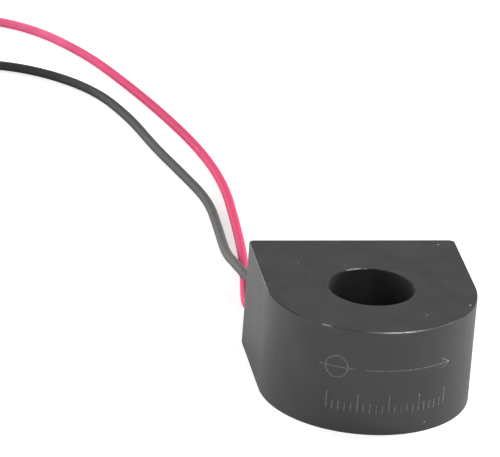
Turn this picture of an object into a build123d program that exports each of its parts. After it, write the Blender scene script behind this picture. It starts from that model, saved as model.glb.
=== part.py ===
from build123d import *

import os
from math import cos, pi, radians, sin, tan

# A potted current transformer: the wire to be measured passes through its bore,
# and two flexible leads bring out the secondary current.
# Millimetres. The origin is on the bore's axis, in the plane of the open
# underside, with +Z up and +Y towards the flat back where the leads come out.

# Housing
body_width = 27.0
back_reach = 0.8
body_height = 14.2
side_wall = 1.0
top_wall = 1.2
tube_wall = 0.8
back_corner_round = 0.5
top_edge_chamfer = 0.2
inner_corner_round = 0.8

# Ribs under the top wall, which the coil is pressed against
rib_count = 4
rib_first_angle = 45.0
rib_width = 1.2
rib_height = 0.5
rib_length = 5.0

# Leads
lead_radius = 0.65
strands_radius = 0.24
red_exit_inset = 2.5
lead_spacing = 3.0
exit_height = 2.0
exit_straight = 4.5
slot_clearance = 0.15
tinned_length = 5.0
tinned_tip_chamfer = 0.1

# Joints between the leads and the winding's tails
root_inside = 2.5
bared_length = 1.6
joint_length = 2.0
joint_radius = 0.42
sleeve_wall = 0.28
sleeve_overlap = 0.8

# Coil
coil_width = 5.35
coil_clearance = 0.35
joint_gap = 0.3
inner_build = 0.85
outer_build = 0.45
end_build = 0.65
tape_thickness = 0.15
case_wall = 0.5
core_clearance = 0.2
pad_width = 1.6
pad_thickness = 0.4
tail_radius = 0.15
tail_soldered = 0.5
tail_embed = 0.35
red_tail_angle = 168.0
black_tail_angle = 158.0

# Resin
resin_recess = 0.4

# Share of a run that an arc of a lead may take
arc_share = 0.45

# Places in the housing, worked out from the sizes above: the back stands a little
# further from the axis than the front, and the bore is what the coil leaves free
front_radius = body_width / 2
rear_depth = front_radius + back_reach
inner_radius = front_radius - side_wall
inner_back = rear_depth - side_wall
ceiling = body_height - top_wall
tape_radius = inner_radius - coil_clearance
coil_outer = tape_radius - tape_thickness
coil_inner = coil_outer - coil_width
tube_radius = coil_inner - coil_clearance
bore_radius = tube_radius - tube_wall
rib_start = tube_radius - tube_wall / 2
slot_radius = lead_radius + slot_clearance
red_exit_x = red_exit_inset - front_radius
black_exit_x = red_exit_x + lead_spacing

# Depths along a lead, from the back face inwards
root_end = side_wall + root_inside
strands_end = root_end + bared_length
joint_end = strands_end + joint_length
sleeve_start = root_end - sleeve_overlap
sleeve_radius = lead_radius + sleeve_wall

# The coil, from its outside to its core
coil_top = ceiling - rib_height
coil_bottom = exit_height + sleeve_radius + joint_gap
case_inner = coil_inner + inner_build
case_outer = coil_outer - outer_build
case_bottom = coil_bottom + end_build
case_top = coil_top - end_build
case_middle = (case_inner + case_outer) / 2
lid_bottom = case_top - case_wall
core_inner = case_inner + case_wall + core_clearance
core_outer = case_outer - case_wall - core_clearance
core_bottom = case_bottom + case_wall + pad_thickness
core_top = lid_bottom - core_clearance
pad_inner = case_middle - pad_width / 2
pad_outer = case_middle + pad_width / 2

# The leads' routes over the table, from the exit to the stripped end
red_route = [
    (red_exit_x, rear_depth, exit_height),
    (red_exit_x, rear_depth + exit_straight, exit_height),
    (-11.5, 25.4, lead_radius),
    (-9.3, 38.3, lead_radius),
    (-8.0, 64.5, lead_radius),
    (-12.4, 86.5, lead_radius),
    (-24.9, 118.8, lead_radius),
    (-44.0, 127.0, lead_radius),
]
crossing_height = 2.1
black_route = [
    (black_exit_x, rear_depth, exit_height),
    (black_exit_x, rear_depth + exit_straight, exit_height),
    (-10.0, 26.6, crossing_height),
    (-12.1, 36.3, crossing_height),
    (-11.5, 43.8, lead_radius),
    (-11.2, 57.5, lead_radius),
    (-15.9, 73.8, lead_radius),
    (-21.9, 99.0, lead_radius),
    (-43.0, 109.8, lead_radius),
    (-55.0, 96.5, lead_radius),
]


def d_face(half_width, back, corner_round):
    """A half disc in front and a rectangle behind, with rounded back corners."""
    with BuildSketch() as outline:
        with BuildLine():
            front = CenterArc((0, 0), half_width, 180, 180)
            Polyline(front @ 1, (half_width, back), (-half_width, back), front @ 0)
        make_face()
        fillet(outline.vertices().group_by(Axis.Y)[-1], corner_round)
    return outline.sketch


def ring_section(inner, outer, bottom, top):
    """The section of a ring, drawn beside the bore's axis."""
    with BuildSketch() as section:
        with Locations(((inner + outer) / 2, (bottom + top) / 2)):
            Rectangle(outer - inner, top - bottom)
    return section.sketch


def lead_slots():
    """The slots of both leads in the back wall, open at the underside."""
    with BuildSketch() as slots:
        for exit_x in (red_exit_x, black_exit_x):
            with Locations((exit_x, exit_height)):
                Circle(slot_radius)
            with Locations((exit_x, exit_height / 2)):
                Rectangle(2 * slot_radius, exit_height)
    return slots.sketch


os.makedirs("parts", exist_ok=True)

# The housing: a moulded cup, closed on top, with the bore's tube in its middle
with BuildPart() as housing:
    with BuildSketch():
        add(d_face(front_radius, rear_depth, back_corner_round))
    extrude(amount=body_height)
    with BuildSketch():
        add(d_face(inner_radius, inner_back, inner_corner_round))
        Circle(tube_radius, mode=Mode.SUBTRACT)
    extrude(amount=ceiling, mode=Mode.SUBTRACT)
    with BuildSketch(Plane.XY.offset(coil_top)):
        with PolarLocations(rib_start + rib_length / 2, rib_count, rib_first_angle):
            Rectangle(rib_length, rib_width)
    extrude(amount=rib_height + top_wall / 2)
    with BuildSketch():
        Circle(bore_radius)
    extrude(amount=body_height, mode=Mode.SUBTRACT)
    with BuildSketch(Plane.XZ.offset(-rear_depth)):
        add(lead_slots())
    extrude(amount=side_wall, mode=Mode.SUBTRACT)
    top_face = housing.faces().sort_by(Axis.Z)[-1]
    chamfer(top_face.edges(), top_edge_chamfer)
housing.part.label = "housing"
export_step(housing.part, "parts/housing.step")

# The core: a ring of wound magnetic ribbon
with BuildPart() as magnetic_core:
    with BuildSketch(Plane.XZ):
        add(ring_section(core_inner, core_outer, core_bottom, core_top))
    revolve(axis=Axis.Z)
magnetic_core.part.label = "magnetic_core"
export_step(magnetic_core.part, "parts/magnetic_core.step")

# The core's box: an annular channel
with BuildPart() as core_case_base:
    with BuildSketch(Plane.XZ):
        add(ring_section(case_inner, case_outer, case_bottom, lid_bottom))
        add(
            ring_section(
                case_inner + case_wall,
                case_outer - case_wall,
                case_bottom + case_wall,
                lid_bottom,
            ),
            mode=Mode.SUBTRACT,
        )
    revolve(axis=Axis.Z)
core_case_base.part.label = "core_case_base"
export_step(core_case_base.part, "parts/core_case_base.step")

# The box's lid, glued on the channel's walls
with BuildPart() as core_case_lid:
    with BuildSketch(Plane.XZ):
        add(ring_section(case_inner, case_outer, lid_bottom, case_top))
    revolve(axis=Axis.Z)
core_case_lid.part.label = "core_case_lid"
export_step(core_case_lid.part, "parts/core_case_lid.step")

# The soft ring that the core is bedded on
with BuildPart() as core_pad:
    with BuildSketch(Plane.XZ):
        add(ring_section(pad_inner, pad_outer, case_bottom + case_wall, core_bottom))
    revolve(axis=Axis.Z)
core_pad.part.label = "core_pad"
export_step(core_pad.part, "parts/core_pad.step")

# The secondary winding: the layers of fine wire as one ring round the box,
# with the tail of each end, which runs from its solder joint up into the ring
with BuildPart() as secondary_winding:
    with BuildSketch(Plane.XZ):
        add(ring_section(coil_inner, coil_outer, coil_bottom, coil_top))
        add(ring_section(case_inner, case_outer, case_bottom, case_top), mode=Mode.SUBTRACT)
    revolve(axis=Axis.Z)
    for exit_x, angle in (
        (red_exit_x, red_tail_angle),
        (black_exit_x, black_tail_angle),
    ):
        start = Vector(exit_x, rear_depth - joint_end + tail_soldered, exit_height)
        foot = Vector(
            case_middle * cos(radians(angle)),
            case_middle * sin(radians(angle)),
            coil_bottom + tail_embed,
        )
        tail = foot - start
        with BuildSketch(Plane(origin=start, z_dir=tail)):
            Circle(tail_radius)
        extrude(amount=tail.length)
secondary_winding.part.label = "secondary_winding"
export_step(secondary_winding.part, "parts/secondary_winding.step")

# The tape round the winding
with BuildPart() as winding_tape:
    with BuildSketch(Plane.XZ):
        add(ring_section(coil_outer, tape_radius, coil_bottom, coil_top))
    revolve(axis=Axis.Z)
winding_tape.part.label = "winding_tape"
export_step(winding_tape.part, "parts/winding_tape.step")

# The inner end of each lead: insulation, bared strands, solder joint and sleeve
potted_ends = []
for colour, exit_x in (("red", red_exit_x), ("black", black_exit_x)):
    with BuildPart() as lead_root:
        with BuildSketch(Plane.XZ.offset(-rear_depth)):
            with Locations((exit_x, exit_height)):
                Circle(lead_radius)
        extrude(amount=root_end)
    lead_root.part.label = f"{colour}_lead_root"
    export_step(lead_root.part, f"parts/{colour}_lead_root.step")

    with BuildPart() as inner_strands:
        with BuildSketch(Plane.XZ.offset(root_end - rear_depth)):
            with Locations((exit_x, exit_height)):
                Circle(strands_radius)
        extrude(amount=bared_length)
    inner_strands.part.label = f"{colour}_inner_strands"
    export_step(inner_strands.part, f"parts/{colour}_inner_strands.step")

    with BuildPart() as solder_joint:
        with BuildSketch(Plane.XZ.offset(strands_end - rear_depth)):
            with Locations((exit_x, exit_height)):
                Circle(joint_radius)
        extrude(amount=joint_length)
        add(secondary_winding.part, mode=Mode.SUBTRACT)
    solder_joint.part.label = f"{colour}_solder_joint"
    export_step(solder_joint.part, f"parts/{colour}_solder_joint.step")

    with BuildPart() as joint_sleeve:
        with BuildSketch(Plane.XZ.offset(sleeve_start - rear_depth)):
            with Locations((exit_x, exit_height)):
                Circle(sleeve_radius)
        extrude(amount=joint_end - sleeve_start)
        for inside in (lead_root, inner_strands, solder_joint, secondary_winding):
            add(inside.part, mode=Mode.SUBTRACT)
    joint_sleeve.part.label = f"{colour}_joint_sleeve"
    export_step(joint_sleeve.part, f"parts/{colour}_joint_sleeve.step")
    potted_ends += [lead_root.part, inner_strands.part, solder_joint.part, joint_sleeve.part]

# The resin: it fills the housing and the lead slots round everything inside
with BuildPart() as potting:
    with BuildSketch(Plane.XY.offset(resin_recess)):
        add(d_face(front_radius, rear_depth, back_corner_round))
        Circle(tube_radius, mode=Mode.SUBTRACT)
    extrude(amount=ceiling - resin_recess)
    with BuildSketch(Plane.XZ):
        add(ring_section(coil_inner, tape_radius, coil_bottom, coil_top))
    revolve(axis=Axis.Z, mode=Mode.SUBTRACT)
    for inside in (housing, secondary_winding):
        add(inside.part, mode=Mode.SUBTRACT)
    for potted_end in potted_ends:
        add(potted_end, mode=Mode.SUBTRACT)
potting.part.label = "potting"
export_step(potting.part, "parts/potting.step")

# The free leads: each a plain round tube, with its stripped and tinned end
for colour, route in (("red", red_route), ("black", black_route)):
    runs = [Vector(*end) - Vector(*start) for start, end in zip(route, route[1:])]
    bends = []
    for before, after in zip(runs, runs[1:]):
        half_turn = radians(before.get_angle(after)) / 2
        bends.append(arc_share * min(before.length, after.length) / tan(half_turn))
    with BuildPart() as lead:
        with BuildLine() as path:
            FilletPolyline(*route, radius=bends)
        with BuildSketch(Plane(origin=path.line @ 0, z_dir=path.line % 0)):
            Circle(lead_radius)
        sweep()
    lead.part.label = f"{colour}_lead"
    export_step(lead.part, f"parts/{colour}_lead.step")

    with BuildPart() as tinned_end:
        with BuildSketch(Plane(origin=path.line @ 1, z_dir=path.line % 1)):
            Circle(strands_radius)
        extrude(amount=tinned_length)
        tip = tinned_end.faces().sort_by_distance(path.line @ 1)[-1]
        chamfer(tip.edges(), tinned_tip_chamfer)
    tinned_end.part.label = f"{colour}_tinned_end"
    export_step(tinned_end.part, f"parts/{colour}_tinned_end.step")

    length = sum(edge.length for edge in path.edges())
    plain_volume = pi * lead_radius**2 * length
    print(f"{colour} lead {length:.1f} mm, tinned end {tinned_length} mm more")
    print(f"  volume {lead.part.volume:.2f}, section times length {plain_volume:.2f}")
    print("  runs", " ".join(f"{run.length:.1f}" for run in runs))
    print("  radii", " ".join(f"{bend:.1f}" for bend in bends))
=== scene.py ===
import bpy
import bmesh
import math
from mathutils import Euler, Matrix, Vector


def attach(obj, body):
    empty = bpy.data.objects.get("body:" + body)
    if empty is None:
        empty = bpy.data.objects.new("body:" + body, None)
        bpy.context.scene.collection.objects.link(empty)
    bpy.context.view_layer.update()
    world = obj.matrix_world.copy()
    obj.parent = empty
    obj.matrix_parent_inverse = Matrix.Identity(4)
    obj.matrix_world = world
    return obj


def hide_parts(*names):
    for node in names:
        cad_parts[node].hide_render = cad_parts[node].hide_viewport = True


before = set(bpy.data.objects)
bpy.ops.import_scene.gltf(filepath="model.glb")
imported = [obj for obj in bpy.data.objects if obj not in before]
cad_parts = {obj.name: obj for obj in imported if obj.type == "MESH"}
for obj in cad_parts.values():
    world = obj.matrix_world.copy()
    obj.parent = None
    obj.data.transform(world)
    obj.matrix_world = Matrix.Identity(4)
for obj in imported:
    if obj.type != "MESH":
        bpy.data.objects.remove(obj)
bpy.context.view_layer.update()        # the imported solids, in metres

scene = bpy.context.scene
mm = 0.001               # the settings give their lengths in mm


# ---- small helpers

def toLinear(hexColour):
    channels = [int(hexColour[i:i + 2], 16) / 255 for i in (0, 2, 4)]
    return [c / 12.92 if c <= 0.04045 else ((c + 0.055) / 1.055) ** 2.4 for c in channels] + [1.0]


def addNode(tree, kind, values=None, links=None, stops=None, **settings):
    # one node, with its settings, its fixed inputs, what feeds it and the stops of its ramp
    node = tree.nodes.new(kind)
    for name, value in settings.items():
        setattr(node, name, value)
    for socket, value in (values or {}).items():
        node.inputs[socket].default_value = value
    for socket, source in (links or {}).items():
        tree.links.new(source, node.inputs[socket])
    if stops:
        elements = node.color_ramp.elements
        elements[0].position, elements[-1].position = stops[0][0], stops[-1][0]
        for position, colour in stops[1:-1]:
            elements.new(position)
        for element, (position, colour) in zip(elements, stops):
            element.color = toLinear(colour)
    return node


def startMaterial(name, **shaderValues):
    # a Principled surface and the piece's own coordinates, in metres
    material = bpy.data.materials.new(name)
    material.use_nodes = True
    tree = material.node_tree
    shader = tree.nodes["Principled BSDF"]
    for socket, value in shaderValues.items():
        shader.inputs[socket.replace("_", " ")].default_value = value
    coords = addNode(tree, "ShaderNodeTexCoord").outputs["Object"]
    return material, tree, shader, coords


def patternScale(sizeMm):
    # noise and cells repeat about once per unit, so this is how many fit in a metre
    return 1 / (sizeMm * mm)


def finishPiece(bm, name, material, smoothAngle=35):
    mesh = bpy.data.meshes.new(name)
    bm.to_mesh(mesh)
    bm.free()
    piece = bpy.data.objects.new(name, mesh)
    scene.collection.objects.link(piece)
    mesh.materials.append(material)
    mesh.shade_smooth()
    mesh.set_sharp_from_angle(angle=math.radians(smoothAngle))
    return piece


# ---- camera: long lens, a little above the part and to its left

cameraSettings = {
    "place": (-124.512, -565.908, 278.818), "turn": (65.9383, -4.0366, -9.0389),
    "lens": 362.658, "sensor": 36, "nearClip": 10, "farClip": 20000,
}

cameraData = bpy.data.cameras.new("photoCamera")
cameraData.lens = cameraSettings["lens"]
cameraData.sensor_width = cameraSettings["sensor"]
cameraData.clip_start = cameraSettings["nearClip"] * mm
cameraData.clip_end = cameraSettings["farClip"] * mm
camera = bpy.data.objects.new("photoCamera", cameraData)
camera.location = Vector(cameraSettings["place"]) * mm
camera.rotation_euler = Euler([math.radians(a) for a in cameraSettings["turn"]], "XYZ")
scene.collection.objects.link(camera)
scene.camera = camera
print("camera placed")


# ---- the two flexible leads

pvcSettings = {
    "cloud": 2.5, "cloudShare": 0.12, "skin": 0.12, "skinDepth": 0.01,
    # colours by distance from the origin, 0 at the first of these and 1 at the second
    "colourFrom": 20, "colourTo": 135,
    "red": [(0.0, "de3e6f"), (0.4, "df3e6f"), (0.5, "dd3e70"), (0.59, "d63a6a"), (0.78, "da3d70"),
            (0.86, "e24c7c"), (0.93, "f66591")],
    # paler near the housing, blacker further out
    "black": [(0.0, "615f5c"), (0.25, "5f5d5a"), (0.31, "595754"), (0.37, "4f4e4c"),
              (0.55, "4b4a49"), (0.67, "3a3939"), (0.8, "2c2b2b")],
}


def pvcInsulation(name, stops):
    # extruded PVC: soft satin and faintly cloudy; its colour shifts a little along the lead
    s = pvcSettings
    material, tree, shader, coords = startMaterial(name, Roughness=0.72, IOR=1.48)
    cloud = addNode(tree, "ShaderNodeTexNoise", {"Scale": patternScale(s["cloud"]), "Detail": 3.0},
                    {"Vector": coords})
    away = addNode(tree, "ShaderNodeVectorMath", links={0: coords}, operation="LENGTH")
    along = addNode(tree, "ShaderNodeMapRange",
                    {"From Min": s["colourFrom"] * mm, "From Max": s["colourTo"] * mm},
                    {"Value": away.outputs["Value"]})
    mixed = addNode(tree, "ShaderNodeMath", {1: s["cloudShare"]},
                    {0: cloud.outputs["Fac"], 2: along.outputs["Result"]},
                    operation="MULTIPLY_ADD")
    colour = addNode(tree, "ShaderNodeValToRGB", links={"Fac": mixed.outputs[0]}, stops=stops)
    tree.links.new(colour.outputs["Color"], shader.inputs["Base Color"])
    skin = addNode(tree, "ShaderNodeTexNoise", {"Scale": patternScale(s["skin"]), "Detail": 2.0},
                   {"Vector": coords})
    bump = addNode(tree, "ShaderNodeBump", {"Strength": 0.25, "Distance": s["skinDepth"] * mm},
                   {"Height": skin.outputs["Fac"]})
    tree.links.new(bump.outputs["Normal"], shader.inputs["Normal"])
    return material


redPvc = pvcInsulation("redPvcInsulation", pvcSettings["red"])
blackPvc = pvcInsulation("blackPvcInsulation", pvcSettings["black"])

leadSettings = {
    "diameter": 1.3, "ringSteps": 6, "runSteps": 16,
    "redRoute": [
        (-11.0, 14.3, 2.0), (-11.0, 18.6, 2.0), (-11.5, 23.6, 0.65), (-10.3, 31.4, 0.65),
        (-9.3, 39.7, 0.65), (-8.7, 50.5, 0.65), (-8.3, 62.0, 0.65), (-9.6, 73.4, 0.65),
        (-13.0, 86.4, 0.65), (-17.5, 99.6, 0.65), (-21.8, 110.1, 0.65), (-28.4, 119.7, 0.65),
        (-36.6, 123.8, 0.65), (-44.0, 127.0, 0.65),
    ],
    "redLength": 126.7,
    "blackRoute": [
        (-8.0, 14.3, 2.0), (-8.0, 18.6, 2.0), (-8.7, 23.0, 2.0), (-10.2, 27.4, 2.15),
        (-11.3, 33.0, 2.1), (-11.6, 39.6, 0.65), (-11.4, 47.3, 0.65), (-11.3, 57.0, 0.65),
        (-13.6, 66.1, 0.65), (-16.2, 75.5, 0.65), (-18.3, 86.0, 0.65), (-22.1, 96.3, 0.65),
        (-29.7, 103.6, 0.65), (-38.7, 106.3, 0.65), (-46.6, 104.9, 0.65), (-51.2, 100.7, 0.65),
        (-55.0, 96.5, 0.65),
    ],
    "blackLength": 123.1,
}


def makeLead(name, route, material, cadNode):
    curve = bpy.data.curves.new(name, "CURVE")
    curve.dimensions = "3D"
    curve.bevel_depth = leadSettings["diameter"] / 2 * mm
    curve.bevel_resolution = leadSettings["ringSteps"]
    curve.use_fill_caps = True
    curve.resolution_u = leadSettings["runSteps"]
    spline = curve.splines.new("NURBS")
    spline.points.add(len(route) - 1)
    for point, (x, y, z) in zip(spline.points, route):
        point.co = (x * mm, y * mm, z * mm, 1)
    spline.order_u = 3
    spline.use_endpoint_u = True
    lead = bpy.data.objects.new(name, curve)
    scene.collection.objects.link(lead)
    curve.materials.append(material)
    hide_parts(cadNode)
    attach(lead, "root")
    return lead


redLead = makeLead("redLead", leadSettings["redRoute"], redPvc, "red_lead")
blackLead = makeLead("blackLead", leadSettings["blackRoute"], blackPvc,
                     "black_lead")
print("leads laid")


# ---- their stripped ends: seven tinned wires, twisted

tinnedSettings = {
    "length": 5.0, "wireRadius": 0.08, "wireSides": 10, "outerWires": 6, "layRadius": 0.158,
    "twist": 300, "steps": 28, "smoothAngle": 60, "dullPatch": 0.4, "colours": ("a9a59c", "d8d5cd"),
}


def tinnedWire():
    # hot-tinned copper: dull silver, duller in patches, with a sheen along each wire
    s = tinnedSettings
    material, tree, shader, coords = startMaterial("tinnedCopperWire", Metallic=1.0)
    dull = addNode(tree, "ShaderNodeTexNoise",
                   {"Scale": patternScale(s["dullPatch"]), "Detail": 3.0}, {"Vector": coords})
    colour = addNode(tree, "ShaderNodeValToRGB", links={"Fac": dull.outputs["Fac"]},
                     stops=[(0.3, s["colours"][0]), (0.7, s["colours"][1])])
    rough = addNode(tree, "ShaderNodeMapRange", {"To Min": 0.24, "To Max": 0.42},
                    {"Value": dull.outputs["Fac"]})
    tree.links.new(colour.outputs["Color"], shader.inputs["Base Color"])
    tree.links.new(rough.outputs["Result"], shader.inputs["Roughness"])
    return material


tinnedCopper = tinnedWire()


def readLine(lead):
    # the points of a lead's own line, without its thickness
    thin = lead.copy()
    thin.data = lead.data.copy()
    thin.data.bevel_depth = 0
    scene.collection.objects.link(thin)
    evaluated = thin.evaluated_get(bpy.context.evaluated_depsgraph_get())
    mesh = bpy.data.meshes.new_from_object(evaluated)
    points = [v.co.copy() for v in mesh.vertices]
    bpy.data.objects.remove(thin)
    return points


def makeTinnedEnd(name, lead, cadNode):
    s = tinnedSettings
    line = readLine(lead)
    toLead = (line[-1] - line[-2]).to_track_quat("Z", "Y").to_matrix().to_4x4()
    toLead.translation = line[-1]
    places = [Vector((0, 0, 0))]
    for i in range(s["outerWires"]):
        turn = Matrix.Rotation(math.radians(360 / s["outerWires"] * i), 3, "Z")
        places.append(turn @ Vector((s["layRadius"], 0, 0)))
    bm = bmesh.new()
    for place in places:
        disc = bmesh.ops.create_circle(bm, cap_ends=True, segments=s["wireSides"],
                                       radius=s["wireRadius"] * mm,
                                       matrix=Matrix.Translation(place * mm))["verts"]
        edges = list(dict.fromkeys(e for v in disc for e in v.link_edges))
        faces = list(dict.fromkeys(f for v in disc for f in v.link_faces))
        bmesh.ops.spin(bm, geom=disc + edges + faces, cent=(0, 0, 0), axis=(0, 0, 1),
                       dvec=(0, 0, s["length"] * mm / s["steps"]), angle=math.radians(s["twist"]),
                       steps=s["steps"], use_duplicate=False)
    bmesh.ops.recalc_face_normals(bm, faces=bm.faces)
    bmesh.ops.transform(bm, matrix=toLead, verts=bm.verts)
    piece = finishPiece(bm, name, tinnedCopper, s["smoothAngle"])
    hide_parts(cadNode)
    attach(piece, "root")
    return piece


redTinnedEnd = makeTinnedEnd("redTinnedEnd", redLead, "red_tinned_end")
blackTinnedEnd = makeTinnedEnd("blackTinnedEnd", blackLead, "black_tinned_end")
print("tinned ends twisted")


# ---- housing

housingSettings = {
    "halfWidth": 13.5, "back": 14.3, "height": 14.2, "wall": 1.0, "topWall": 1.2,
    "bore": 5.5, "tube": 6.3, "backCorner": 0.7, "innerCorner": 0.8,
    "edgeRound": 0.13, "edgeSteps": 3,
    "frontSteps": 120, "sideSteps": 14, "backSteps": 28, "cornerSteps": 6,
    "smoothAngle": 30, "flatWeight": 80,
    "ribCount": 4, "ribFirst": 45, "ribWidth": 1.2, "ribHeight": 0.5, "ribStart": 5.9,
    "ribLength": 5.0, "ribSet": 0.2,
    "slotRadius": 0.8, "slotHeight": 2.0, "slotPlaces": (-11.0, -8.0), "slotSteps": 24,
    "slotOutside": 1.0, "slotInside": 0.5, "slotBelow": 1.0,
}

plasticSettings = {
    # the third and fourth colours are painted shade: down the bore, and along parts of the top
    # edges
    "colour": "3f3f3f", "mottle": "454544", "paintedBoreShade": "242424", "dull": "141414",
    # the last colour is a painted highlight along the top edges
    "dust": "d2d1ce", "paintedHighlightTone": "e2e1de",
    "mottleSize": 5, "bitSize": 0.5, "patchSize": 1.5,
    "grainSize": 0.14, "grainDepth": 0.008, "waveSize": 7, "waveDepth": 0.06,
    # where each treatment starts and is full, inwards from the outline and from the top, and
    # outwards from the bore
    "rimBand": (0.14, 0.08), "topBand": (0.15, 0.1), "boreBand": (0.16, 0.1),
    "wallBand": (0.12, 0.02), "dullRough": 0.4,
    # how strong the painted highlights along the top edges are, round the axis: 0 and 1 are behind,
    # 0.5 is in front
    "rimPaintedHighlight": [(0.394, "000000"), (0.399, "b0b0b0"), (0.408, "b0b0b0"), (0.413, "000000"),
                  (0.462, "000000"), (0.485, "9a9a9a"), (0.505, "f8f8f8"), (0.530, "f8f8f8"),
                  (0.550, "8a8a8a"), (0.572, "000000")],
    "borePaintedHighlight": [(0.0, "909090"), (0.03, "c8c8c8"), (0.06, "b0b0b0"), (0.07, "000000"),
                   (0.985, "000000"), (0.995, "909090")],
    # and how strong the painted shade along them is, where they are also matter and stay darker
    # than the faces beside them
    "rimMattPaintedShade": [(0.255, "000000"), (0.275, "ffffff"), (0.35, "ffffff"), (0.38, "404040"),
                  (0.60, "404040"), (0.64, "ffffff"), (0.70, "ffffff"), (0.73, "000000")],
    "boreMattPaintedShade": [(0.0, "404040"), (0.06, "404040"), (0.09, "ffffff"), (0.96, "ffffff"),
                   (0.99, "404040")],
    # dust specks: place, size and how clear; this share of each is as clear as that
    "speckCore": 0.25,
    "specks": [(-11.44, 10.38, 14.2, 0.16, 0.3), (-8.18, 7.22, 14.2, 0.14, 0.4),
               (11.13, 12.81, 14.2, 0.15, 0.9), (11.69, -5.51, 14.2, 0.19, 1),
               (5.57, -8.37, 14.2, 0.2, 0.35), (5.59, -12.29, 1.23, 0.2, 0.35),
               (-2.24, 6.34, 14.2, 0.12, 0.5), (5.51, -0.06, 14.2, 0.12, 0.4)],
}


def markTopEdges(tree, radius, height, share, rimStops, boreStops):
    # a mask along the two top edges, as strong round the axis as the stops say
    h, p = housingSettings, plasticSettings
    parts = []
    for middle, side, (start, full), stops in ((h["halfWidth"], -1, p["rimBand"], rimStops),
                                               (h["bore"], 1, p["boreBand"], boreStops)):
        edge = addNode(tree, "ShaderNodeMapRange",
                       {"From Min": (middle + side * start) * mm,
                        "From Max": (middle + side * full) * mm}, {"Value": radius})
        strength = addNode(tree, "ShaderNodeValToRGB", links={"Fac": share}, stops=stops)
        parts.append(addNode(tree, "ShaderNodeMath", operation="MULTIPLY",
                             links={0: edge.outputs["Result"], 1: strength.outputs["Color"]}))
    both = addNode(tree, "ShaderNodeMath", operation="MAXIMUM",
                   links={0: parts[0].outputs[0], 1: parts[1].outputs[0]})
    start, full = p["topBand"]
    high = addNode(tree, "ShaderNodeMapRange", {"From Min": (h["height"] - start) * mm,
                                                "From Max": (h["height"] - full) * mm},
                   {"Value": height})
    return addNode(tree, "ShaderNodeMath", operation="MULTIPLY",
                   links={0: both.outputs[0], 1: high.outputs["Result"]}).outputs[0]


def scatterSpecks(tree, coords):
    # a mask with a soft dot at each speck
    dots = None
    for x, y, z, size, clear in plasticSettings["specks"]:
        away = addNode(tree, "ShaderNodeVectorMath", {1: Vector((x, y, z)) * mm}, {0: coords},
                       operation="DISTANCE")
        dot = addNode(tree, "ShaderNodeMapRange",
                      {"From Min": size * mm, "To Max": clear,
                       "From Max": size * plasticSettings["speckCore"] * mm},
                      {"Value": away.outputs["Value"]}).outputs["Result"]
        dots = dot if dots is None else addNode(tree, "ShaderNodeMath", links={0: dots, 1: dot},
                                                operation="MAXIMUM").outputs[0]
    return dots


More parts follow.
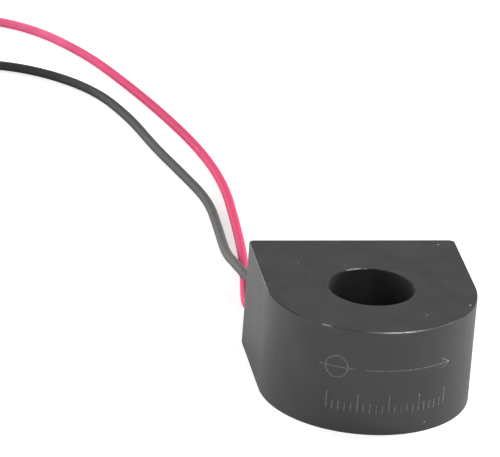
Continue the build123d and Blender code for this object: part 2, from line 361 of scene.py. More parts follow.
def darkMouldedPlastic():
    # moulded polyester from a finely textured tool: dark grey and satin, paler where it faces a
    # light at a slant; painted shade darkens it down the bore, with a few dust specks, and along
    # the top edges a painted highlight shows in places and a painted shade, on a matter finish, in
    # others
    h, p = housingSettings, plasticSettings
    material, tree, shader, coords = startMaterial("mouldedPolyester", IOR=1.6)
    mottle = addNode(tree, "ShaderNodeTexNoise",
                     {"Scale": patternScale(p["mottleSize"]), "Detail": 4.0}, {"Vector": coords})
    plain = addNode(tree, "ShaderNodeValToRGB", links={"Fac": mottle.outputs["Fac"]},
                    stops=[(0.35, p["colour"]), (0.68, p["mottle"])])

    # radius from the axis, height, and the share of a turn, which is 0.5 straight in front
    flat = addNode(tree, "ShaderNodeVectorMath", {1: (1, 1, 0)}, {0: coords}, operation="MULTIPLY")
    radius = addNode(tree, "ShaderNodeVectorMath", links={0: flat.outputs[0]}, operation="LENGTH")
    place = addNode(tree, "ShaderNodeSeparateXYZ", links={"Vector": coords})
    forward = addNode(tree, "ShaderNodeMath", {1: -1.0}, {0: place.outputs["Y"]},
                      operation="MULTIPLY")
    turn = addNode(tree, "ShaderNodeMath", links={0: place.outputs["X"], 1: forward.outputs[0]},
                   operation="ARCTAN2")
    share = addNode(tree, "ShaderNodeMapRange", {"From Min": -math.pi, "From Max": math.pi},
                    {"Value": turn.outputs[0]})

    where = (radius.outputs["Value"], place.outputs["Z"], share.outputs["Result"])
    # painted highlights: pale strokes along parts of the top edges, broken up by noise
    paintedHighlight = markTopEdges(tree, *where, p["rimPaintedHighlight"], p["borePaintedHighlight"])
    # painted shade along parts of the top edges, which are also made matter
    mattPaintedShade = markTopEdges(tree, *where, p["rimMattPaintedShade"], p["boreMattPaintedShade"])
    bits = addNode(tree, "ShaderNodeTexNoise",
                   {"Scale": patternScale(p["bitSize"]), "Detail": 3.0}, {"Vector": coords})
    broken = addNode(tree, "ShaderNodeMapRange", {"From Min": 0.3, "From Max": 0.5},
                     {"Value": bits.outputs["Fac"]})
    paintedHighlightBits = addNode(tree, "ShaderNodeMath", links={0: paintedHighlight, 1: broken.outputs["Result"]},
                         operation="MULTIPLY")
    # painted shade: a darker tone over the bore's wall, where the recess lies in shade
    start, full = p["wallBand"]
    paintedBoreShadeMask = addNode(tree, "ShaderNodeMapRange", {"From Min": (h["bore"] + start) * mm,
                                                  "From Max": (h["bore"] + full) * mm},
                     {"Value": radius.outputs["Value"]})
    colour = plain.outputs["Color"]
    # painted shade down the bore and along the top edges, dust specks, then painted highlights on
    # the edges
    for mask, tone in ((paintedBoreShadeMask.outputs["Result"], "paintedBoreShade"), (mattPaintedShade, "dull"),
                       (scatterSpecks(tree, coords), "dust"), (paintedHighlightBits.outputs[0], "paintedHighlightTone")):
        colour = addNode(tree, "ShaderNodeMix", {7: toLinear(p[tone])}, {0: mask, 6: colour},
                         data_type="RGBA").outputs[2]
    tree.links.new(colour, shader.inputs["Base Color"])

    patch = addNode(tree, "ShaderNodeTexNoise",
                    {"Scale": patternScale(p["patchSize"]), "Detail": 3.0}, {"Vector": coords})
    rough = addNode(tree, "ShaderNodeMapRange", {"To Min": 0.40, "To Max": 0.54},
                    {"Value": patch.outputs["Fac"]})
    matt = addNode(tree, "ShaderNodeMath", {1: p["dullRough"]},
                   {0: mattPaintedShade, 2: rough.outputs["Result"]}, operation="MULTIPLY_ADD",
                   use_clamp=True)
    tree.links.new(matt.outputs[0], shader.inputs["Roughness"])
    grain = addNode(tree, "ShaderNodeTexNoise",
                    {"Scale": patternScale(p["grainSize"]), "Detail": 2.0}, {"Vector": coords})
    wave = addNode(tree, "ShaderNodeTexNoise",
                   {"Scale": patternScale(p["waveSize"]), "Detail": 1.0}, {"Vector": coords})
    fine = addNode(tree, "ShaderNodeBump", {"Strength": 0.35, "Distance": p["grainDepth"] * mm},
                   {"Height": grain.outputs["Fac"]})
    broad = addNode(tree, "ShaderNodeBump", {"Strength": 0.5, "Distance": p["waveDepth"] * mm},
                    {"Height": wave.outputs["Fac"], "Normal": fine.outputs["Normal"]})
    tree.links.new(broad.outputs["Normal"], shader.inputs["Normal"])
    return material


mouldedPolyester = darkMouldedPlastic()


def newVerts(made):
    return [g for g in made if isinstance(g, bmesh.types.BMVert)]


def newEdges(made):
    return [g for g in made if isinstance(g, bmesh.types.BMEdge)]


def drawD(bm, halfWidth, back, cornerRound):
    # half round in front, straight behind, with two rounded back corners: a closed chain of edges
    before = set(bm.edges)
    sideSteps, backSteps = housingSettings["sideSteps"], housingSettings["backSteps"]
    first = bm.verts.new((-halfWidth * mm, 0, 0))
    spun = bmesh.ops.spin(bm, geom=[first], cent=(0, 0, 0), axis=(0, 0, 1), angle=math.pi,
                          steps=housingSettings["frontSteps"], use_duplicate=False)
    places = [(halfWidth, back * i / sideSteps) for i in range(1, sideSteps)]
    places += [(halfWidth * (1 - 2 * i / backSteps), back) for i in range(backSteps + 1)]
    places += [(-halfWidth, back * (1 - i / sideSteps)) for i in range(1, sideSteps)]
    row = [spun["geom_last"][0]]
    row += [bm.verts.new((x * mm, y * mm, 0)) for x, y in places]
    row.append(first)
    for a, b in zip(row, row[1:]):
        bm.edges.new((a, b))
    corners = [row[sideSteps], row[sideSteps + backSteps]]
    bmesh.ops.bevel(bm, geom=corners, offset=cornerRound * mm, profile=0.5, affect="VERTICES",
                    segments=housingSettings["cornerSteps"], material=-1)
    return [e for e in bm.edges if e not in before]


def raiseEdges(bm, edges, rise):
    made = bmesh.ops.extrude_edge_only(bm, edges=edges)["geom"]
    bmesh.ops.translate(bm, verts=newVerts(made), vec=(0, 0, rise * mm))
    return newEdges(made)


def drawIn(bm, edges, radius):
    # the same chain again, drawn in to a circle about the bore's axis
    made = bmesh.ops.extrude_edge_only(bm, edges=edges)["geom"]
    for vert in newVerts(made):
        vert.co.xy = vert.co.xy.normalized() * radius * mm
    return newEdges(made)


def mouldCup():
    # the walls, the top wall and the tube of the bore, as one closed skin
    s = housingSettings
    bm = bmesh.new()
    outer = drawD(bm, s["halfWidth"], s["back"], s["backCorner"])
    inner = drawD(bm, s["halfWidth"] - s["wall"], s["back"] - s["wall"], s["innerCorner"])
    bmesh.ops.bridge_loops(bm, edges=outer + inner)          # the underside's rim
    outerTop = raiseEdges(bm, outer, s["height"])
    ceiling = raiseEdges(bm, inner, s["height"] - s["topWall"])
    tubeTop = drawIn(bm, ceiling, s["tube"])                 # the underside of the top wall
    tubeFoot = raiseEdges(bm, tubeTop, s["topWall"] - s["height"])
    boreFoot = drawIn(bm, tubeFoot, s["bore"])
    boreTop = raiseEdges(bm, boreFoot, s["height"])
    bmesh.ops.bridge_loops(bm, edges=outerTop + boreTop)     # the top face
    bmesh.ops.recalc_face_normals(bm, faces=bm.faces)
    bmesh.ops.bevel(bm, geom=outerTop + boreTop, offset=s["edgeRound"] * mm,
                    segments=s["edgeSteps"], profile=0.5, affect="EDGES", material=-1)
    return finishPiece(bm, "housingShell", mouldedPolyester, s["smoothAngle"])


def makeSlotCutter():
    # the keyhole slots of the leads: round above, open at the underside
    s = housingSettings
    bm = bmesh.new()
    for x in s["slotPlaces"]:
        first = bm.verts.new(((x - s["slotRadius"]) * mm, (s["back"] + s["slotOutside"]) * mm,
                              s["slotHeight"] * mm))
        spun = bmesh.ops.spin(bm, geom=[first], cent=(x * mm, 0, s["slotHeight"] * mm),
                              axis=(0, 1, 0), angle=math.pi, steps=s["slotSteps"],
                              use_duplicate=False)
        last = spun["geom_last"][0]
        low = [bm.verts.new((v.co.x, v.co.y, -s["slotBelow"] * mm)) for v in (last, first)]
        for a, b in ((last, low[0]), (low[0], low[1]), (low[1], first)):
            bm.edges.new((a, b))
    bmesh.ops.edgenet_fill(bm, edges=bm.edges)
    made = bmesh.ops.extrude_face_region(bm, geom=bm.faces[:])["geom"]
    reach = s["slotOutside"] + s["wall"] + s["slotInside"]
    bmesh.ops.translate(bm, verts=newVerts(made), vec=(0, -reach * mm, 0))
    bmesh.ops.recalc_face_normals(bm, faces=bm.faces)
    return finishPiece(bm, "slotCutter", mouldedPolyester)


def addRibs(mesh):
    # set a little into the top wall, so they come after the cut, which would drop some of them
    s = housingSettings
    middle = Matrix.Translation((
        (s["ribStart"] + s["ribLength"] / 2) * mm, 0,
        (s["height"] - s["topWall"] - (s["ribHeight"] - s["ribSet"]) / 2) * mm))
    size = Matrix.Diagonal((s["ribLength"] * mm, s["ribWidth"] * mm,
                            (s["ribHeight"] + s["ribSet"]) * mm, 1))
    bm = bmesh.new()
    bm.from_mesh(mesh)
    for i in range(s["ribCount"]):
        turn = Matrix.Rotation(math.radians(s["ribFirst"] + 360 / s["ribCount"] * i), 4, "Z")
        bmesh.ops.create_cube(bm, size=1, matrix=turn @ middle @ size)
    bm.to_mesh(mesh)
    bm.free()


def makeHousing():
    housing = mouldCup()
    cutter = makeSlotCutter()
    cut = housing.modifiers.new("slots", "BOOLEAN")
    cut.operation = "DIFFERENCE"
    cut.solver = "EXACT"
    cut.object = cutter
    bpy.context.view_layer.update()
    evaluated = housing.evaluated_get(bpy.context.evaluated_depsgraph_get())
    cutMesh = bpy.data.meshes.new_from_object(evaluated)
    housing.modifiers.clear()
    housing.data = cutMesh
    bpy.data.objects.remove(cutter)
    addRibs(cutMesh)
    cutMesh.shade_smooth()
    cutMesh.set_sharp_from_angle(angle=math.radians(housingSettings["smoothAngle"]))
    weigh = housing.modifiers.new("flatFacesStayFlat", "WEIGHTED_NORMAL")
    weigh.keep_sharp = True
    weigh.weight = housingSettings["flatWeight"]
    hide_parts("housing")
    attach(housing, "root")
    return housing


housing = makeHousing()
print("housing moulded, faces:", len(housing.data.polygons))


# ---- etched marks on the round front: a current-transformer sign, an arrow and a row of ticks

markSettings = {
    "radius": 13.5, "stroke": 0.17, "thickness": 0.03, "bendStep": 0.4,
    "signPlace": (-6.4, 8.9), "signRadius": 1.45, "signReach": 2.3, "signSteps": 48,
    "arrow": (-2.6, 9.0, 8.9), "arrowHead": 1.3, "headSlant": 0.55,
    "tickFrom": -7.4, "tickStep": 0.8, "tickCount": 21, "tickLongEvery": 5,
    "tickFoot": 3.0, "tickShort": 1.1, "tickLong": 2.3,
    "colours": ("585857", "848483"), "spot": 0.16,
}


def etchedPlastic():
    # laser-etched polyester: the beam foams the surface, so the strokes are paler and matt
    s = markSettings
    material, tree, shader, coords = startMaterial("laserEtchedPolyester", Roughness=0.75)
    spots = addNode(tree, "ShaderNodeTexNoise", {"Scale": patternScale(s["spot"]), "Detail": 2.0},
                    {"Vector": coords})
    colour = addNode(tree, "ShaderNodeValToRGB", links={"Fac": spots.outputs["Fac"]},
                     stops=[(0.38, s["colours"][0]), (0.62, s["colours"][1])])
    tree.links.new(colour.outputs["Color"], shader.inputs["Base Color"])
    return material


def addStroke(bm, start, end):
    # a straight stroke, laid out flat first: X along the round front, Y up
    start, end, width = Vector(start), Vector(end), markSettings["stroke"]
    run = end - start
    middle = Matrix.Translation(((start + end) / 2).to_3d() * mm)
    turn = Matrix.Rotation(math.atan2(run.y, run.x), 4, "Z")
    size = Matrix.Diagonal(((run.length + width) * mm, width * mm, 1, 1))
    bmesh.ops.create_grid(bm, x_segments=max(2, round(run.length / markSettings["bendStep"])),
                          y_segments=1, size=0.5, matrix=middle @ turn @ size)


def addRing(bm, centre, radius):
    place = Matrix.Translation((centre[0] * mm, centre[1] * mm, 0))
    edges = []
    for side in (-1, 1):
        made = bmesh.ops.create_circle(bm, cap_ends=False, segments=markSettings["signSteps"],
                                       radius=(radius + side * markSettings["stroke"] / 2) * mm,
                                       matrix=place)
        edges += list(dict.fromkeys(e for v in made["verts"] for e in v.link_edges))
    bmesh.ops.bridge_loops(bm, edges=edges)


def makeMarks():
    s = markSettings
    bm = bmesh.new()
    x, y = s["signPlace"]
    addRing(bm, (x, y), s["signRadius"])
    addStroke(bm, (x - s["signReach"], y), (x + s["signReach"], y))
    left, right, level = s["arrow"]
    addStroke(bm, (left, level), (right, level))
    for side in (-1, 1):
        rise = side * s["arrowHead"] * s["headSlant"]
        addStroke(bm, (right, level), (right - s["arrowHead"], level + rise))
    for i in range(s["tickCount"]):
        tall = s["tickShort"] if i % s["tickLongEvery"] else s["tickLong"]
        along = s["tickFrom"] + i * s["tickStep"]
        addStroke(bm, (along, s["tickFoot"]), (along, s["tickFoot"] + tall))
    radius = s["radius"] * mm
    for v in bm.verts:                                       # bent round the front
        angle = v.co.x / radius
        v.co = Vector((radius * math.sin(angle), -radius * math.cos(angle), v.co.y))
    bmesh.ops.recalc_face_normals(bm, faces=bm.faces)
    piece = finishPiece(bm, "etchedMarks", etchedPlastic())
    body = piece.modifiers.new("depth", "SOLIDIFY")
    body.thickness = s["thickness"] * mm
    body.offset = 0
    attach(piece, "root")


makeMarks()
print("front etched")


# ---- what stays from the solids: the resin in the open underside, and what it closes in

innerSettings = {
    # two tones each, and the sizes and depths of what shows on them
    "resin": {"tones": ("0d0d0e", "17171a"), "haze": 4, "wave": 6, "waveDepth": 0.15,
              "bubble": 2.2, "pitDepth": 0.05},
    "ribbon": {"tones": ("6f7276", "a3a6aa"), "pitch": 0.12, "lineShade": 0.6, "patch": 1.2,
               "lineDepth": 0.03},
    "nylon": {"tones": ("ddd6c2", "e9e4d4"), "cloud": 3, "grain": 0.12, "grainDepth": 0.01},
    "silicone": {"tones": ("7d2a1e", "96382a"), "filler": 0.3, "fillerDepth": 0.02},
    "copper": {"tones": ("8f4a2a", "c9764a"), "turns": 580, "turnShade": 0.5, "bundle": 0.9,
               "turnDepth": 0.04},
    "tape": {"tones": ("e0b02c", "c99512"), "lap": (0.55, 0.57), "lapShade": 0.35,
             "wrinkle": 0.8, "wrinkleStretch": 0.15, "wrinkleDepth": 0.04},
    "strands": {"tones": ("a9a59c", "d8d5cd"), "gap": "4b4843", "count": 6, "lay": 6.0,
                "leadPlaces": (-11.0, -8.0), "leadHeight": 2.0, "strandDepth": 0.06},
    "solder": {"tones": ("9d9ea0", "c6c7c9"), "frost": 0.5, "lump": 0.9, "lumpDepth": 0.1},
    "sleeve": {"tones": ("161617", "222224"), "wrinkle": 0.35, "wrinkleStretch": 0.35,
               "wrinkleDepth": 0.05},
}


def pouredEpoxy():
    # black epoxy resin, poured and left to level: a deep gloss with slow waves and a few pits,
    # dull where dust has settled
    s = innerSettings["resin"]
    material, tree, shader, coords = startMaterial("pouredEpoxyResin", IOR=1.55)
    haze = addNode(tree, "ShaderNodeTexNoise", {"Scale": patternScale(s["haze"]), "Detail": 4.0},
                   {"Vector": coords})
    colour = addNode(tree, "ShaderNodeValToRGB", links={"Fac": haze.outputs["Fac"]},
                     stops=[(0.35, s["tones"][0]), (0.65, s["tones"][1])])
    rough = addNode(tree, "ShaderNodeMapRange",
                    {"From Min": 0.35, "From Max": 0.7, "To Min": 0.11, "To Max": 0.3},
                    {"Value": haze.outputs["Fac"]})
    tree.links.new(colour.outputs["Color"], shader.inputs["Base Color"])
    tree.links.new(rough.outputs["Result"], shader.inputs["Roughness"])
    slow = addNode(tree, "ShaderNodeTexNoise", {"Scale": patternScale(s["wave"]), "Detail": 1.0},
                   {"Vector": coords})
    bubbles = addNode(tree, "ShaderNodeTexVoronoi", {"Scale": patternScale(s["bubble"])},
                      {"Vector": coords})
    pit = addNode(tree, "ShaderNodeMapRange", {"From Min": 0.04, "From Max": 0.12},
                  {"Value": bubbles.outputs["Distance"]})
    waves = addNode(tree, "ShaderNodeBump", {"Strength": 0.6, "Distance": s["waveDepth"] * mm},
                    {"Height": slow.outputs["Fac"]})
    pits = addNode(tree, "ShaderNodeBump", {"Strength": 0.5, "Distance": s["pitDepth"] * mm},
                   {"Height": pit.outputs["Result"], "Normal": waves.outputs["Normal"]})
    tree.links.new(pits.outputs["Normal"], shader.inputs["Normal"])
    return material


def woundRibbon():
    # nanocrystalline ribbon, wound dry: dull steel-grey with the fine rings of its turns (real
    # ones are 0.02 mm, drawn coarser to show)
    s = innerSettings["ribbon"]
    material, tree, shader, coords = startMaterial("woundNanocrystallineRibbon", Metallic=1.0,
                                                   Roughness=0.38)
    halfPitch = s["pitch"] / 2 * mm
    flat = addNode(tree, "ShaderNodeVectorMath", {1: (1, 1, 0)}, {0: coords}, operation="MULTIPLY")
    radius = addNode(tree, "ShaderNodeVectorMath", links={0: flat.outputs[0]}, operation="LENGTH")
    turn = addNode(tree, "ShaderNodeMath", {1: halfPitch}, {0: radius.outputs["Value"]},
                   operation="PINGPONG")
    line = addNode(tree, "ShaderNodeMapRange", {"From Max": halfPitch}, {"Value": turn.outputs[0]})
    patch = addNode(tree, "ShaderNodeTexNoise", {"Scale": patternScale(s["patch"]), "Detail": 3.0},
                    {"Vector": coords})
    tone = addNode(tree, "ShaderNodeMath", {1: s["lineShade"]},
                   {0: line.outputs["Result"], 2: patch.outputs["Fac"]}, operation="MULTIPLY_ADD")
    colour = addNode(tree, "ShaderNodeValToRGB", links={"Fac": tone.outputs[0]},
                     stops=[(0.4, s["tones"][0]), (1.0, s["tones"][1])])
    tree.links.new(colour.outputs["Color"], shader.inputs["Base Color"])
    bump = addNode(tree, "ShaderNodeBump", {"Strength": 0.6, "Distance": s["lineDepth"] * mm},
                   {"Height": line.outputs["Result"]})
    tree.links.new(bump.outputs["Normal"], shader.inputs["Normal"])
    return material


def mouldedNylon():
    # natural polyamide, injection moulded: milky off-white, satin, with a fine spark-eroded grain
    s = innerSettings["nylon"]
    material, tree, shader, coords = startMaterial("mouldedNaturalNylon", Roughness=0.48, IOR=1.53)
    cloud = addNode(tree, "ShaderNodeTexNoise", {"Scale": patternScale(s["cloud"]), "Detail": 3.0},
                    {"Vector": coords})
    colour = addNode(tree, "ShaderNodeValToRGB", links={"Fac": cloud.outputs["Fac"]},
                     stops=[(0.35, s["tones"][0]), (0.65, s["tones"][1])])
    tree.links.new(colour.outputs["Color"], shader.inputs["Base Color"])
    grain = addNode(tree, "ShaderNodeTexNoise", {"Scale": patternScale(s["grain"]), "Detail": 2.0},
                    {"Vector": coords})
    bump = addNode(tree, "ShaderNodeBump", {"Strength": 0.4, "Distance": s["grainDepth"] * mm},
                   {"Height": grain.outputs["Fac"]})
    tree.links.new(bump.outputs["Normal"], shader.inputs["Normal"])
    return material


def castSilicone():
    # red-brown silicone rubber, cast: matt, slightly speckled by its filler
    s = innerSettings["silicone"]
    material, tree, shader, coords = startMaterial("castSiliconeRubber", Roughness=0.8, IOR=1.41)
    filler = addNode(tree, "ShaderNodeTexNoise",
                     {"Scale": patternScale(s["filler"]), "Detail": 3.0}, {"Vector": coords})
    colour = addNode(tree, "ShaderNodeValToRGB", links={"Fac": filler.outputs["Fac"]},
                     stops=[(0.4, s["tones"][0]), (0.62, s["tones"][1])])
    tree.links.new(colour.outputs["Color"], shader.inputs["Base Color"])
    bump = addNode(tree, "ShaderNodeBump", {"Strength": 0.3, "Distance": s["fillerDepth"] * mm},
                   {"Height": filler.outputs["Fac"]})
    tree.links.new(bump.outputs["Normal"], shader.inputs["Normal"])
    return material


def enamelledWire():
    # enamelled copper, machine wound: side by side turns under a clear lacquer gloss, some darker
    # than others
    s = innerSettings["copper"]
    material, tree, shader, coords = startMaterial(
        "enamelledCopperWire", Metallic=1.0, Roughness=0.3, Coat_Weight=0.8, Coat_Roughness=0.12)
    place = addNode(tree, "ShaderNodeSeparateXYZ", links={"Vector": coords})
    angle = addNode(tree, "ShaderNodeMath", links={0: place.outputs["Y"], 1: place.outputs["X"]},
                    operation="ARCTAN2")
    turns = addNode(tree, "ShaderNodeMath", {1: s["turns"] / (2 * math.pi)}, {0: angle.outputs[0]},
                    operation="MULTIPLY")
    wire = addNode(tree, "ShaderNodeMath", {1: 0.5}, {0: turns.outputs[0]}, operation="PINGPONG")
    ridge = addNode(tree, "ShaderNodeMapRange", {"From Max": 0.5}, {"Value": wire.outputs[0]},
                    interpolation_type="SMOOTHSTEP")
    bundle = addNode(tree, "ShaderNodeTexNoise",
                     {"Scale": patternScale(s["bundle"]), "Detail": 2.0}, {"Vector": coords})
    tone = addNode(tree, "ShaderNodeMath", {1: s["turnShade"]},
                   {0: ridge.outputs["Result"], 2: bundle.outputs["Fac"]},
                   operation="MULTIPLY_ADD")
    colour = addNode(tree, "ShaderNodeValToRGB", links={"Fac": tone.outputs[0]},
                     stops=[(0.35, s["tones"][0]), (0.95, s["tones"][1])])
    tree.links.new(colour.outputs["Color"], shader.inputs["Base Color"])
    bump = addNode(tree, "ShaderNodeBump", {"Strength": 0.8, "Distance": s["turnDepth"] * mm},
                   {"Height": ridge.outputs["Result"]})
    tree.links.new(bump.outputs["Normal"], shader.inputs["Normal"])
    return material


def polyesterTape():
    # yellow polyester film tape, wrapped by hand: glossy, faintly wrinkled upright, deeper where
    # it overlaps
    s = innerSettings["tape"]
    material, tree, shader, coords = startMaterial("wrappedPolyesterTape", Roughness=0.26, IOR=1.6)
    place = addNode(tree, "ShaderNodeSeparateXYZ", links={"Vector": coords})
    angle = addNode(tree, "ShaderNodeMath", links={0: place.outputs["Y"], 1: place.outputs["X"]},
                    operation="ARCTAN2")
    lap = addNode(tree, "ShaderNodeMapRange", {"From Min": s["lap"][0], "From Max": s["lap"][1]},
                  {"Value": angle.outputs[0]})
    stretched = addNode(tree, "ShaderNodeMapping", {"Scale": (1, 1, s["wrinkleStretch"])},
                        {"Vector": coords})
    wrinkle = addNode(tree, "ShaderNodeTexNoise",
                      {"Scale": patternScale(s["wrinkle"]), "Detail": 2.0},
                      {"Vector": stretched.outputs["Vector"]})
    tone = addNode(tree, "ShaderNodeMath", {1: s["lapShade"]},
                   {0: lap.outputs["Result"], 2: wrinkle.outputs["Fac"]}, operation="MULTIPLY_ADD")
    colour = addNode(tree, "ShaderNodeValToRGB", links={"Fac": tone.outputs[0]},
                     stops=[(0.4, s["tones"][0]), (0.95, s["tones"][1])])
    tree.links.new(colour.outputs["Color"], shader.inputs["Base Color"])
    bump = addNode(tree, "ShaderNodeBump", {"Strength": 0.5, "Distance": s["wrinkleDepth"] * mm},
                   {"Height": wrinkle.outputs["Fac"]})
    tree.links.new(bump.outputs["Normal"], shader.inputs["Normal"])
    return material


def twistedStrands():
    # bared tinned strands, still twisted: dull silver with dark lines between the strands
    s = innerSettings["strands"]
    material, tree, shader, coords = startMaterial("twistedTinnedStrands", Metallic=1.0,
                                                   Roughness=0.34)
    place = addNode(tree, "ShaderNodeSeparateXYZ", links={"Vector": coords})
    # the angle round the nearer lead: both lie as far from the middle between them
    left, right = s["leadPlaces"]
    mid = addNode(tree, "ShaderNodeMath", {1: -(left + right) / 2 * mm}, {0: place.outputs["X"]},
                  operation="ADD")
    off = addNode(tree, "ShaderNodeMath", links={0: mid.outputs[0]}, operation="ABSOLUTE")
    side = addNode(tree, "ShaderNodeMath", {1: (right - left) / 2 * mm}, {0: off.outputs[0]},
                   operation="SUBTRACT")
    rise = addNode(tree, "ShaderNodeMath", {1: s["leadHeight"] * mm}, {0: place.outputs["Z"]},
                   operation="SUBTRACT")
    angle = addNode(tree, "ShaderNodeMath", links={0: rise.outputs[0], 1: side.outputs[0]},
                    operation="ARCTAN2")
    twist = addNode(tree, "ShaderNodeMath", {1: 2 * math.pi / (s["lay"] * mm)},
                    {0: place.outputs["Y"], 2: angle.outputs[0]}, operation="MULTIPLY_ADD")
    count = addNode(tree, "ShaderNodeMath", {1: s["count"] / (2 * math.pi)},
                    {0: twist.outputs[0]}, operation="MULTIPLY")
    strand = addNode(tree, "ShaderNodeMath", {1: 0.5}, {0: count.outputs[0]},
                     operation="PINGPONG")
    colour = addNode(tree, "ShaderNodeValToRGB", links={"Fac": strand.outputs[0]},
                     stops=[(0.02, s["gap"]), (0.16, s["tones"][0]), (0.5, s["tones"][1])])
    tree.links.new(colour.outputs["Color"], shader.inputs["Base Color"])
    bump = addNode(tree, "ShaderNodeBump", {"Strength": 0.8, "Distance": s["strandDepth"] * mm},
                   {"Height": strand.outputs[0]})
    tree.links.new(bump.outputs["Normal"], shader.inputs["Normal"])
    return material


def flowedSolder():
    # solder, flowed by hand: bright with soft lumps and a few frosty patches
    s = innerSettings["solder"]
    material, tree, shader, coords = startMaterial("flowedSolder", Metallic=1.0)
    frost = addNode(tree, "ShaderNodeTexNoise", {"Scale": patternScale(s["frost"]), "Detail": 3.0},
                    {"Vector": coords})
    colour = addNode(tree, "ShaderNodeValToRGB", links={"Fac": frost.outputs["Fac"]},
                     stops=[(0.35, s["tones"][0]), (0.65, s["tones"][1])])
    rough = addNode(tree, "ShaderNodeMapRange", {"To Min": 0.12, "To Max": 0.4},
                    {"Value": frost.outputs["Fac"]})
    tree.links.new(colour.outputs["Color"], shader.inputs["Base Color"])
    tree.links.new(rough.outputs["Result"], shader.inputs["Roughness"])
    lumps = addNode(tree, "ShaderNodeTexNoise", {"Scale": patternScale(s["lump"]), "Detail": 1.0},
                    {"Vector": coords})
    bump = addNode(tree, "ShaderNodeBump", {"Strength": 0.7, "Distance": s["lumpDepth"] * mm},
                   {"Height": lumps.outputs["Fac"]})
    tree.links.new(bump.outputs["Normal"], shader.inputs["Normal"])
    return material


def shrunkSleeving():
    # polyolefin sleeving, shrunk with hot air: soft black with fine wrinkles round it
    s = innerSettings["sleeve"]
    material, tree, shader, coords = startMaterial("shrunkPolyolefinSleeving", Roughness=0.55,
                                                   IOR=1.5)
    squeezed = addNode(tree, "ShaderNodeMapping",
                       {"Scale": (s["wrinkleStretch"], 1, s["wrinkleStretch"])},
                       {"Vector": coords})
    wrinkle = addNode(tree, "ShaderNodeTexNoise",
                      {"Scale": patternScale(s["wrinkle"]), "Detail": 2.0},
                      {"Vector": squeezed.outputs["Vector"]})
    colour = addNode(tree, "ShaderNodeValToRGB", links={"Fac": wrinkle.outputs["Fac"]},
                     stops=[(0.35, s["tones"][0]), (0.65, s["tones"][1])])
    tree.links.new(colour.outputs["Color"], shader.inputs["Base Color"])
    bump = addNode(tree, "ShaderNodeBump", {"Strength": 0.5, "Distance": s["wrinkleDepth"] * mm},
                   {"Height": wrinkle.outputs["Fac"]})
    tree.links.new(bump.outputs["Normal"], shader.inputs["Normal"])
    return material


nylon, strands = mouldedNylon(), twistedStrands()
solder, sleeving = flowedSolder(), shrunkSleeving()
finishes = {
    "potting": pouredEpoxy(), "magnetic_core": woundRibbon(),
    "core_case_base": nylon, "core_case_lid": nylon, "core_pad": castSilicone(),
    "secondary_winding": enamelledWire(), "winding_tape": polyesterTape(),
    "red_lead_root": redPvc, "black_lead_root": blackPvc,
    "red_inner_strands": strands, "black_inner_strands": strands,
    "red_solder_joint": solder, "black_solder_joint": solder,
    "red_joint_sleeve": sleeving, "black_joint_sleeve": sleeving,
    # hidden, because their pieces stand in for them
    "housing": mouldedPolyester, "red_lead": redPvc, "black_lead": blackPvc,
    "red_tinned_end": tinnedCopper, "black_tinned_end": tinnedCopper,
}
for node, material in finishes.items():
    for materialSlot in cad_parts[node].material_slots:
        materialSlot.material = material
print("solids finished")


# ---- studio: pale floor, soft lamps

studioSettings = {
    # in metres, apart from the floor's drop
    "floor": "d8d8d8", "floorSize": 3, "floorDrop": 0.02, "worldFill": 0.02,
    # added brightness that only the camera sees: less near the part, so that its shadow shows
    "glowNear": 0.64, "glowFar": 1.0, "glowFrom": 0.2, "glowTo": 0.8,
    # what the lamps aim at, and each one's name, place, size and power
    "aim": (0, 0, 0.01),
    "lamps": [
        ("topBox", (0.0, 0.1, 0.7), (0.6, 0.6), 0.1),
        ("leftBox", (-0.7, 0.1, 0.25), (0.4, 0.5), 3.0),
        ("leftBackBox", (-0.45, 0.6, 0.25), (0.4, 0.4), 4.2),
        ("rightBox", (0.6, 0.25, 0.3), (0.3, 0.5), 6.9),
        ("frontBox", (0.1, -0.8, 0.5), (0.6, 0.4), 3.0),
        ("rightFrontBox", (0.6, -0.4, 0.3), (0.4, 0.4), 1.2),
    ],
}


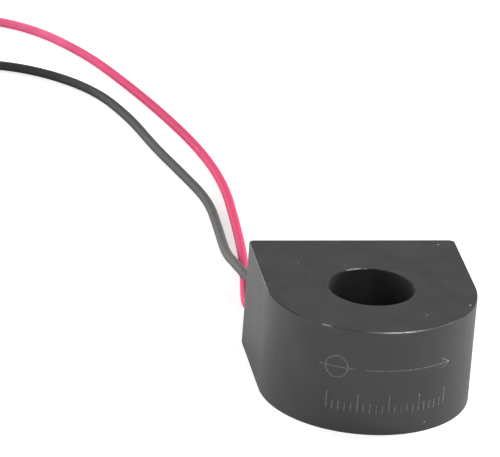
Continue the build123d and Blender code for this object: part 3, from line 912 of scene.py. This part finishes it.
def whiteTable():
    # matt laminate, lit from below for the camera alone: plain white with a soft shadow
    s = studioSettings
    material, tree, shader, coords = startMaterial("whiteTable", Roughness=0.9)
    shader.inputs["Base Color"].default_value = toLinear(s["floor"])
    shader.inputs["Specular IOR Level"].default_value = 0.0
    shader.inputs["Emission Color"].default_value = (1, 1, 1, 1)
    path = addNode(tree, "ShaderNodeLightPath")
    far = addNode(tree, "ShaderNodeVectorMath", links={0: coords}, operation="LENGTH")
    glow = addNode(tree, "ShaderNodeMapRange",
                   {"From Min": s["glowFrom"], "From Max": s["glowTo"],
                    "To Min": s["glowNear"], "To Max": s["glowFar"]},
                   {"Value": far.outputs["Value"]})
    seen = addNode(tree, "ShaderNodeMath", operation="MULTIPLY",
                   links={0: glow.outputs["Result"], 1: path.outputs["Is Camera Ray"]})
    tree.links.new(seen.outputs[0], shader.inputs["Emission Strength"])
    return material


def layFloor():
    bm = bmesh.new()
    drop = Matrix.Translation((0, 0, -studioSettings["floorDrop"] * mm))
    bmesh.ops.create_grid(bm, x_segments=1, y_segments=1, size=studioSettings["floorSize"],
                          matrix=drop)
    mesh = bpy.data.meshes.new("studioFloor")
    bm.to_mesh(mesh)
    bm.free()
    floor = bpy.data.objects.new("studioFloor", mesh)
    scene.collection.objects.link(floor)
    mesh.materials.append(whiteTable())


def lightWorld():
    # white to the camera, and only a faint fill for everything else
    world = bpy.data.worlds.new("studio")
    scene.world = world
    world.use_nodes = True
    tree = world.node_tree
    tree.nodes.clear()
    path = addNode(tree, "ShaderNodeLightPath")
    seen, lit = (addNode(tree, "ShaderNodeBackground", {"Color": (1, 1, 1, 1), "Strength": level})
                 for level in (1.0, studioSettings["worldFill"]))
    choose = addNode(tree, "ShaderNodeMixShader", links={
        0: path.outputs["Is Camera Ray"], 1: lit.outputs[0], 2: seen.outputs[0]})
    addNode(tree, "ShaderNodeOutputWorld", links={"Surface": choose.outputs[0]})


def hangLamp(name, place, size, power):
    data = bpy.data.lights.new(name, "AREA")
    data.shape = "RECTANGLE"
    data.size, data.size_y = size
    data.energy = power
    lamp = bpy.data.objects.new(name, data)
    lamp.location = Vector(place)
    towards = Vector(studioSettings["aim"]) - Vector(place)
    lamp.rotation_euler = towards.to_track_quat("-Z", "Y").to_euler()
    scene.collection.objects.link(lamp)


layFloor()
lightWorld()
for lamp in studioSettings["lamps"]:
    hangLamp(*lamp)
scene.view_settings.view_transform = "Standard"
print("studio lit")
